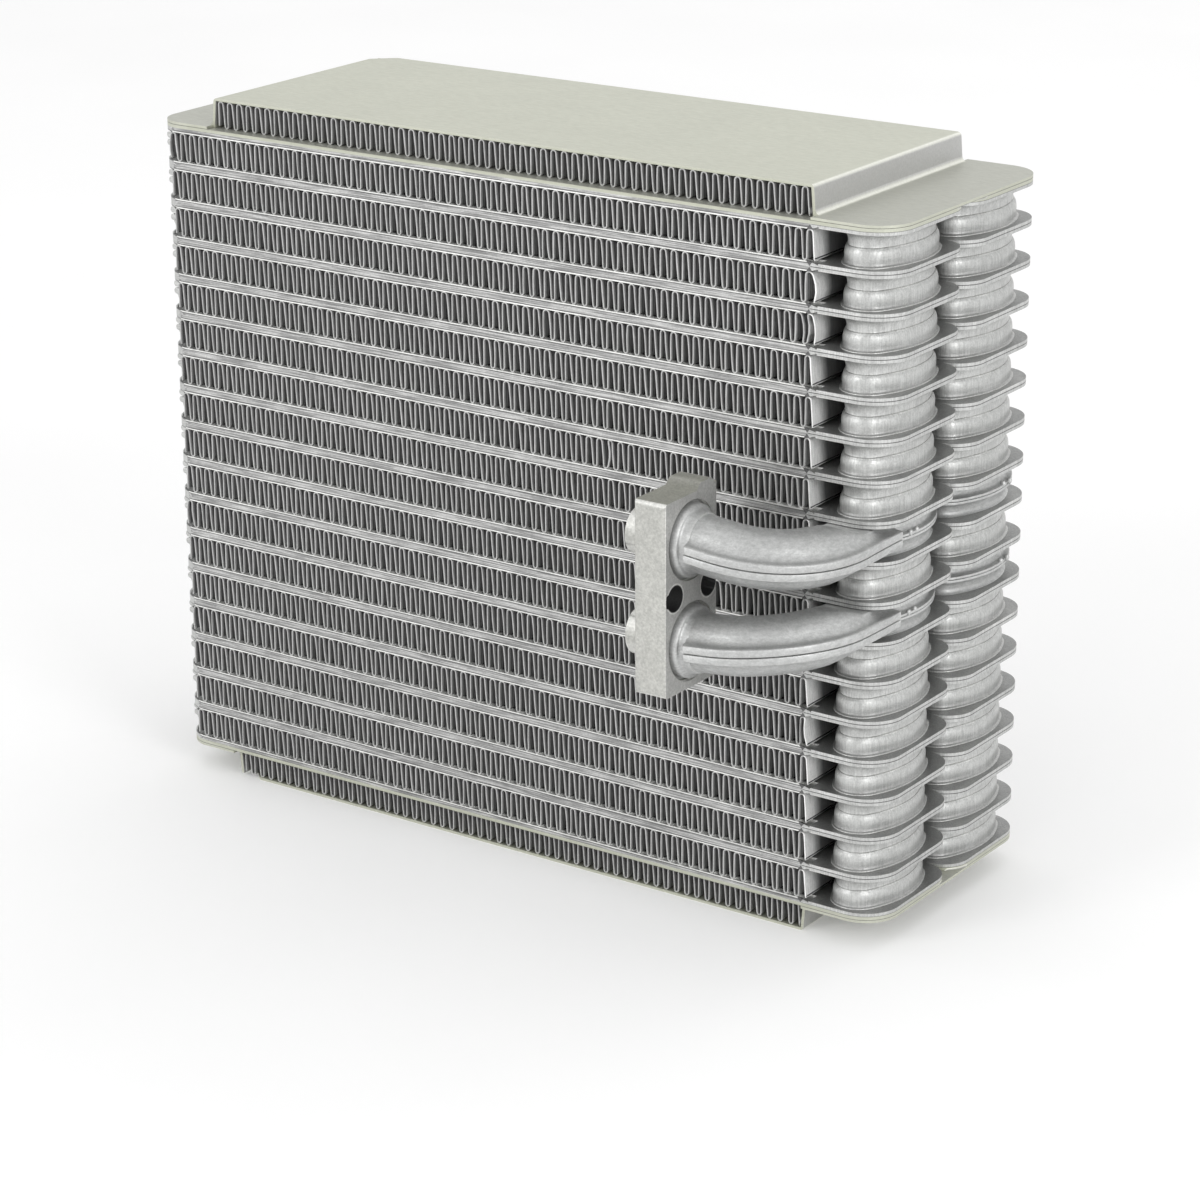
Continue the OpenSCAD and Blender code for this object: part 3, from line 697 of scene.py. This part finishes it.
upperBase = fromNode("tube_09_upper_plate", "upperBase", plate["edge"], plate["edgeSteps"],
                     change=lambda piece: sinkFront(piece, tubeZ(9)))
lowerBase = fromNode("tube_08_lower_plate", "lowerBase", plate["edge"], plate["edgeSteps"],
                     change=lambda piece: sinkFront(piece, tubeZ(8)))
print("plate faces:", len(upperBase.data.polygons), len(lowerBase.data.polygons))
openAbove = (9, 11)
openBelow = (8, 10)
for k in range(2, 19):
    piece = copyPiece(upperBase, f"upperPlate{k:02d}", z=tubeZ(k) - tubeZ(9))
    if k not in openAbove:
        cups = cupPair(dome, f"domes{k:02d}", tubeZ(k) + core["flange"], False)
        piece = joinPieces([piece, cups], f"upperPlate{k:02d}")
    dress(piece, plateMetal, "plate", f"tube_{k:02d}_upper_plate")
for k in range(1, 18):
    piece = copyPiece(lowerBase, f"lowerPlate{k:02d}", z=tubeZ(k) - tubeZ(8))
    if k not in openBelow:
        cups = cupPair(neck, f"necks{k:02d}", tubeZ(k) - core["flange"], True)
        piece = joinPieces([piece, cups], f"lowerPlate{k:02d}")
    dress(piece, plateMetal, "plate", f"tube_{k:02d}_lower_plate")
removePiece(upperBase)
removePiece(lowerBase)
print("plates stacked")

pipe = {
    "radius": 9.0, "outerLip": 2.7, "innerLip": 1.3, "seam": 0.12, "bendSteps": 18,
    "webOff": 0.52, "webBack": 4, "webSize": (12, 20, 0.9), "lipSide": 8.6, "flatLead": 6,
    "nubX": 141.4, "nubsY": (-29.5, -26.0, 28.0, 32.0), "nubRadius": 1.0, "nubShape": (0.9, 0.8, 1.1),
    "blockX": 94.8, "bendX": 106.65, "bendY": -54.5, "portY": -77.5, "flatY": -47.0, "endY": -34.3,
    "flatTall": 5.0, "flatFoot": 3, "flatPower": 6, "easeLength": 16.0, "lipStart": 98.4,
    "ports": (134.85, 103.05), "gaps": (131.65, 106.25),
    "collarSides": 72,
    "collar": [
        (9.5, 92.35), (12.2, 92.35), (12.2, 92.7), (11.5, 93.1), (11.3, 94.0), (11.25, 95.3), (11.1, 96.0),
        (10.75, 96.45), (10.3, 96.55), (9.9, 96.75), (9.6, 97.3), (9.35, 98.2), (9.1, 99.4), (8.0, 99.6),
        (8.0, 92.35),
    ],
}


def halfSection():  # one pressed half across the pipe: (across, up), with the lip outside the bend first
    r, s, outer, inner = pipe["radius"], pipe["seam"], pipe["outerLip"], pipe["innerLip"]
    points = [(-11.6, s), (-11.9, s + 0.12), (-12.0, s + 0.4), (-12.0, outer - 0.75), (-11.85, outer - 0.3),
              (-11.5, outer - 0.06), (-11.0, outer), (-10.2, outer + 0.02), (-9.4, outer + 0.2),
              (-8.85, outer + 0.6)]
    first = math.asin((outer + 1.2) / r)
    last = math.pi - math.asin((inner + 0.8) / r)
    for i in range(17):
        angle = first + (last - first) * i / 16
        points.append((-r * math.cos(angle), r * math.sin(angle)))
    points += [(9.2, inner + 0.25), (10.0, inner), (11.4, inner), (11.8, inner - 0.2), (11.95, s + 0.4),
               (11.8, s)]
    return points


def drawSection(name, points, x):  # a closed outline drawn point by point, across the run
    bpy.ops.mesh.primitive_plane_add(size=1)
    piece = named(name)
    piece.data.transform(Matrix.Diagonal((0, 0, 0, 1)))
    piece.data.transform(Matrix.Translation(Vector((x, points[0][0], points[0][1])) * mm))
    startEdit(piece)
    bpy.ops.mesh.select_all(action="SELECT")
    bpy.ops.mesh.remove_doubles(threshold=0.00001)
    before = points[0]
    for point in points[1:] + points[:1]:
        extrudeSelected(0, point[0] - before[0], point[1] - before[1])
        before = point
    bpy.ops.mesh.select_all(action="SELECT")
    bpy.ops.mesh.remove_doubles(threshold=0.00001)
    bpy.ops.mesh.edge_face_add()
    return piece


def flatten(rise, share):  # from the round pipe to the low wide end between the tank flanges
    foot, power = pipe["flatFoot"], pipe["flatPower"]
    limit = pipe["radius"] + (pipe["flatTall"] - pipe["radius"]) * share
    if rise < foot or limit > pipe["radius"] - 0.01:
        return rise
    return foot + ((rise - foot) ** -power + (limit - foot) ** -power) ** (-1 / power)


def bendShare(x, y):  # how far along the bend and the run to the tank, from 0 to 1
    if x <= pipe["bendX"]:
        return 0.0
    radius = pipe["bendY"] - pipe["portY"]
    if y > pipe["bendY"]:
        length = radius * math.pi / 2 + y - pipe["bendY"]
    else:
        length = radius * math.atan2(x - pipe["bendX"], pipe["bendY"] - y)
    share = min(length / (radius * math.pi / 2 + pipe["easeLength"]), 1)
    return share * share * (3 - 2 * share)


def makePipeHalf(name, port, gap, up):
    cupX, portY, bendY = core["cupX"], pipe["portY"], pipe["bendY"]
    tilt = math.atan((port - gap) / (cupX - pipe["blockX"]))
    x = pipe["blockX"] - 2.0
    piece = drawSection(name, [(portY + across, rise) for across, rise in halfSection()], x)
    for nextX in (pipe["lipStart"], pipe["lipStart"] + 0.5, pipe["lipStart"] + 1.1, pipe["bendX"]):
        extrudeSelected(nextX - x, 0, 0)
        x = nextX
    bpy.ops.mesh.spin(
        steps=pipe["bendSteps"], angle=math.radians(90), center=Vector((x, bendY, 0)) * mm, axis=(0, 0, -1)
    )
    y = bendY
    for nextY in (-53.0, -51.5, -50.0, -48.5, pipe["flatY"], -45.0, -42.5, -40.0, -37.0, pipe["endY"]):
        extrudeSelected(0, nextY - y, 0)
        y = nextY
    bpy.ops.object.mode_set(mode="OBJECT")
    straight, side, lead = pipe["lipStart"] + 0.8, pipe["lipSide"], pipe["flatLead"]
    for v in piece.data.vertices:
        x, y, z = v.co / mm
        if x < straight and abs(y - portY) > side:  # the lips rise out of the round pipe
            share = 0.0 if x < pipe["lipStart"] + 0.2 else 0.75
            y = portY + math.copysign(side + (abs(y - portY) - side) * share, y - portY)
        turn = tilt * (1 - bendShare(x, y))
        if y > bendY - lead:
            share = max(0, min((y - bendY + lead) / (pipe["flatY"] - bendY + lead), 1))
            z = flatten(z, share * share * (3 - 2 * share))
        z = z if up else -z
        dx = x - cupX
        leanX = cupX + dx * math.cos(turn) + z * math.sin(turn)
        leanZ = gap - dx * math.sin(turn) + z * math.cos(turn)
        v.co = Vector((leanX, y, leanZ)) * mm
    finishMesh(piece, 30)
    return piece


def makeCollar(name, port, up):  # turned round the port's axis, then halved at the seam
    profile = pipe["collar"]
    bpy.ops.mesh.primitive_circle_add(
        vertices=pipe["collarSides"], radius=profile[0][0] * mm, location=(0, 0, profile[0][1] * mm)
    )
    piece = named(name)
    settle(piece)
    startEdit(piece)
    bpy.ops.mesh.select_all(action="SELECT")
    before = profile[0]
    for ring in profile[1:] + profile[:1]:
        extrudeSelected(0, 0, ring[1] - before[1])
        scale = ring[0] / before[0]
        bpy.ops.transform.resize(value=(scale, scale, 1), center_override=(0, 0, ring[1] * mm))
        before = ring
    bpy.ops.mesh.select_all(action="SELECT")
    bpy.ops.mesh.remove_doubles(threshold=0.00001)
    bpy.ops.object.mode_set(mode="OBJECT")
    toAxis = Matrix(((0, 0, 1), (0, 1, 0), (-1, 0, 0))).to_4x4()
    piece.data.transform(Matrix.Translation(Vector((0, pipe["portY"], port)) * mm) @ toAxis)
    startEdit(piece)
    bpy.ops.mesh.select_all(action="SELECT")
    side = 1 if up else -1
    bpy.ops.mesh.bisect(
        plane_co=(0, 0, (port + side * 0.06) * mm), plane_no=(0, 0, side), use_fill=True, clear_inner=True,
        clear_outer=False,
    )
    bpy.ops.object.mode_set(mode="OBJECT")
    finishMesh(piece, 40)
    return piece


def makeNub(name, x, y, z):  # locating nub pressed up from the spreading plate's edge
    bpy.ops.mesh.primitive_uv_sphere_add(segments=12, ring_count=8, radius=pipe["nubRadius"] * mm)
    piece = named(name)
    place = Matrix.Translation(Vector((x, y, z)) * mm)
    piece.data.transform(place @ Matrix.Diagonal((*pipe["nubShape"], 1)))
    finishMesh(piece, 60)
    return piece


def makeWeb(name, z, up):  # plate between the two spread cups
    bpy.ops.mesh.primitive_cube_add(size=mm)
    piece = named(name)
    offset = pipe["webOff"] if up else -pipe["webOff"]
    place = Matrix.Translation(Vector((core["cupX"] - pipe["webBack"], 0, z + offset)) * mm)
    piece.data.transform(place @ Matrix.Diagonal((*pipe["webSize"], 1)))
    finishMesh(piece, 30)
    return piece


for port, gap, row in zip(pipe["ports"], pipe["gaps"], ("upper", "lower")):
    for up, half in ((True, "upper"), (False, "lower")):
        name = f"{row}Pipe{half.title()}Half"
        run = makePipeHalf(name, port, gap, up)
        ring = makeCollar(f"{name}Collar", port, up)
        spreads = cupPair(spread, f"{name}Spread", gap, not up)
        parts = [run, ring, spreads, makeWeb(f"{name}Web", gap, up)]
        if up:
            for y in pipe["nubsY"]:
                parts.append(makeNub(f"{name}Nub", pipe["nubX"], y, gap + 0.9))
        piece = joinPieces(parts, name)
        dress(piece, pipeMetal, "pipe", f"{row}_pipe_{half}_half")
print("pipes pressed and bent")

cover = {
    "bend": 1.2, "bendSteps": 5, "foot": 1.6, "footSteps": 6, "footIn": 0.15, "edge": 0.22,
    "topX": 114.45, "footX": 115.25, "footTall": 9.0, "halfDepth": 43.45,
    "filletBack": 0.35, "filletLow": -0.5,
}


def softenEdges(piece, test, width, steps):
    startEdit(piece, "EDGE")
    selectEdges(piece, test)
    bpy.ops.mesh.bevel(offset=width * mm, segments=steps, affect="EDGES")
    bpy.ops.object.mode_set(mode="OBJECT")


def alongY(x, z):
    def test(a, b):
        return (abs(abs(a.x) - x) < 0.06 and abs(a.z - z) < 0.06 and abs(abs(b.x) - x) < 0.06
                and abs(b.z - z) < 0.06 and abs(a.y - b.y) > 1)
    return test


def makeFillet(name, side, footZ, up):  # the sheet's inside bend, where the leg turns into the foot
    radius, count = cover["foot"], cover["footSteps"]
    startX = cover["footX"] - cover["footIn"]
    outline = [(cover["footX"] - cover["filletBack"], cover["filletLow"])]
    outline.append((cover["footX"] - 0.06 - 0.09 * radius, radius))
    for i in range(1, count + 1):
        angle = math.pi / 2 * i / count
        outline.append((startX + radius * (1 - math.cos(angle)), radius * (1 - math.sin(angle))))
    outline.append((startX + radius, cover["filletLow"]))
    bpy.ops.mesh.primitive_plane_add(size=1)
    piece = named(name)
    piece.data.transform(Matrix.Diagonal((0, 0, 0, 1)))
    corner = Vector((outline[0][0], -cover["halfDepth"], outline[0][1]))
    piece.data.transform(Matrix.Translation(corner * mm))
    startEdit(piece)
    bpy.ops.mesh.select_all(action="SELECT")
    bpy.ops.mesh.remove_doubles(threshold=0.00001)
    before = outline[0]
    for point in outline[1:] + outline[:1]:
        extrudeSelected(point[0] - before[0], 0, point[1] - before[1])
        before = point
    bpy.ops.mesh.select_all(action="SELECT")
    bpy.ops.mesh.remove_doubles(threshold=0.00001)
    bpy.ops.mesh.edge_face_add()
    extrudeSelected(0, 2 * cover["halfDepth"], 0)
    bpy.ops.object.mode_set(mode="OBJECT")
    place = Matrix.Translation((0, 0, footZ * mm))
    piece.data.transform(place @ Matrix.Diagonal((side, 1, 1 if up else -1, 1)))
    finishMesh(piece, 35)
    return piece


for node, name, faceZ, footZ in (
    ("top_cover", "topCover", core["height"], core["height"] - cover["footTall"]),
    ("bottom_cover", "bottomCover", 0.0, cover["footTall"]),
):
    piece = mergedCopy(node, name)
    softenEdges(piece, alongY(cover["topX"], faceZ), cover["bend"], cover["bendSteps"])
    addModifier(
        piece, "BEVEL", width=cover["edge"] * mm, segments=2, limit_method="ANGLE",
        angle_limit=math.radians(50), use_clamp_overlap=True,
    )
    finishMesh(piece, 35, recalc=False)
    addModifier(piece, "WEIGHTED_NORMAL", keep_sharp=True)
    fillets = [makeFillet(f"{name}Fillet", side, footZ, faceZ > 1) for side in (-1, 1)]
    piece = joinPieces([piece] + fillets, name)
    dress(piece, coverMetal, "cover", node)

block = {
    "edge": 0.9, "steps": 3, "frontY": -92.0, "left": 83.8, "right": 94.8,
    "solidRound": 2.0, "tighter": 0.5, "nose": 2.0, "noseCuts": (0.2, 0.6, 1.1, 1.45),
}


def tightenCorners(piece):  # the two front corners are sharper than the solid's
    reach = block["solidRound"] + 0.01
    for v in piece.data.vertices:
        for x in (block["left"], block["right"]):
            if abs(v.co.x / mm - x) < reach and v.co.y / mm - block["frontY"] < reach:
                v.co.x = (x + (v.co.x / mm - x) * block["tighter"]) * mm
                v.co.y = (block["frontY"] + (v.co.y / mm - block["frontY"]) * block["tighter"]) * mm


def shapeBlock(piece):  # the front face also turns into the top and the underside with a round
    tightenCorners(piece)
    startEdit(piece)
    for cut in block["noseCuts"]:
        bpy.ops.mesh.select_all(action="SELECT")
        bpy.ops.mesh.bisect(plane_co=(0, (block["frontY"] + cut) * mm, 0), plane_no=(0, 1, 0))
    bpy.ops.object.mode_set(mode="OBJECT")
    front = [v.co.z / mm for v in piece.data.vertices if v.co.y / mm < block["frontY"] + 0.1]
    radius = block["nose"]
    for v in piece.data.vertices:
        reach = max(v.co.y / mm - block["frontY"], 0)
        if reach > block["noseCuts"][-1] + 0.01:
            continue
        drop = (radius - math.sqrt(radius ** 2 - (radius - reach) ** 2)) * mm
        if v.co.z / mm > max(front) - 0.01:
            v.co.z -= drop
        elif v.co.z / mm < min(front) + 0.01:
            v.co.z += drop


piece = fromNode("valve_block", "valveBlock", block["edge"], block["steps"], 50, shapeBlock)
dress(piece, blockMetal, "block", "valve_block")
print("covers and block finished")
for piece in (dome, neck, spread):
    removePiece(piece)

studio = {"room": 0.86, "left": 9.0, "right": 11.0, "back": 3.0, "floorGlow": 0.1}


def makeStage():
    bpy.ops.mesh.primitive_plane_add(size=12, location=(0, 0, 0))
    floor = named("floor")
    settle(floor)
    material = bpy.data.materials.new("paleFloor")
    material.use_nodes = True
    tree = material.node_tree
    shader = tree.nodes["Principled BSDF"]
    place = tree.nodes.new("ShaderNodeTexCoord").outputs["Object"]
    tone = rangeNode(tree, noiseNode(tree, place, 6, 2), 0.3, 0.7, 0.9, 0.92)
    tree.links.new(tone, shader.inputs["Base Color"])
    shader.inputs["Roughness"].default_value = 0.85
    path = tree.nodes.new("ShaderNodeLightPath")
    seen = mathNode(tree, "ADD", path.outputs["Is Camera Ray"], path.outputs["Is Glossy Ray"])
    seen = mathNode(tree, "ADD", seen, path.outputs["Is Transmission Ray"], True)
    shader.inputs["Emission Color"].default_value = (1, 1, 1, 1)
    glow = mathNode(tree, "MULTIPLY", seen, studio["floorGlow"])
    tree.links.new(glow, shader.inputs["Emission Strength"])
    floor.data.materials.append(material)


def makeWorld():
    world = bpy.data.worlds.new("studio")
    bpy.context.scene.world = world
    world.use_nodes = True
    tree = world.node_tree
    room = tree.nodes["Background"]
    room.inputs["Color"].default_value = (1, 1, 1, 1)
    room.inputs["Strength"].default_value = studio["room"]
    white = tree.nodes.new("ShaderNodeBackground")
    white.inputs["Color"].default_value = (1, 1, 1, 1)
    white.inputs["Strength"].default_value = 1.0
    path = tree.nodes.new("ShaderNodeLightPath")
    seen = mathNode(tree, "ADD", path.outputs["Is Camera Ray"], path.outputs["Is Glossy Ray"])
    seen = mathNode(tree, "ADD", seen, path.outputs["Is Transmission Ray"], True)
    mix = tree.nodes.new("ShaderNodeMixShader")
    tree.links.new(seen, mix.inputs[0])
    tree.links.new(room.outputs[0], mix.inputs[1])
    tree.links.new(white.outputs[0], mix.inputs[2])
    tree.links.new(mix.outputs[0], tree.nodes["World Output"].inputs["Surface"])


def addLamp(name, place, target, size, power):
    lamp = bpy.data.lights.new(name, "AREA")
    lamp.shape = "RECTANGLE"
    lamp.size, lamp.size_y = size
    lamp.energy = power
    holder = bpy.data.objects.new(name, lamp)
    bpy.context.scene.collection.objects.link(holder)
    holder.location = place
    holder.rotation_euler = (Vector(target) - Vector(place)).to_track_quat("-Z", "Y").to_euler()


makeStage()
makeWorld()
addLamp("leftSoft", (-0.75, -1.8, 1.0), (0, 0, 0.12), (0.8, 0.8), studio["left"])
addLamp("rightSoft", (1.9, -0.75, 0.9), (0.05, 0, 0.12), (0.8, 0.8), studio["right"])
addLamp("backSoft", (0.3, 1.6, 1.6), (0, 0, 0.15), (1.0, 0.8), studio["back"])

view = {
    "place": (638.9, -904.3, 467.7), "azimuth": 34.93, "elevation": 19.56, "roll": -0.36, "lens": 105.885,
}


def makeCamera():
    azimuth, elevation = math.radians(view["azimuth"]), math.radians(view["elevation"])
    forward = Vector((-math.sin(azimuth) * math.cos(elevation), math.cos(azimuth) * math.cos(elevation),
                      -math.sin(elevation)))
    right = forward.cross(Vector((0, 0, 1))).normalized()
    right = Matrix.Rotation(math.radians(-view["roll"]), 3, forward) @ right
    if right.z > 0:
        right = Matrix.Rotation(2 * math.radians(view["roll"]), 3, forward) @ right
    up = right.cross(forward)
    camera = bpy.data.cameras.new("photoView")
    camera.lens = view["lens"]
    camera.sensor_width = 36
    camera.clip_start = 0.05
    holder = bpy.data.objects.new("photoView", camera)
    bpy.context.scene.collection.objects.link(holder)
    turn = Matrix((right, up, -forward)).transposed().to_4x4()
    holder.matrix_world = Matrix.Translation(Vector(view["place"]) * mm) @ turn
    bpy.context.scene.camera = holder


makeCamera()
bpy.context.scene.view_settings.view_transform = "Standard"
print("scene ready")
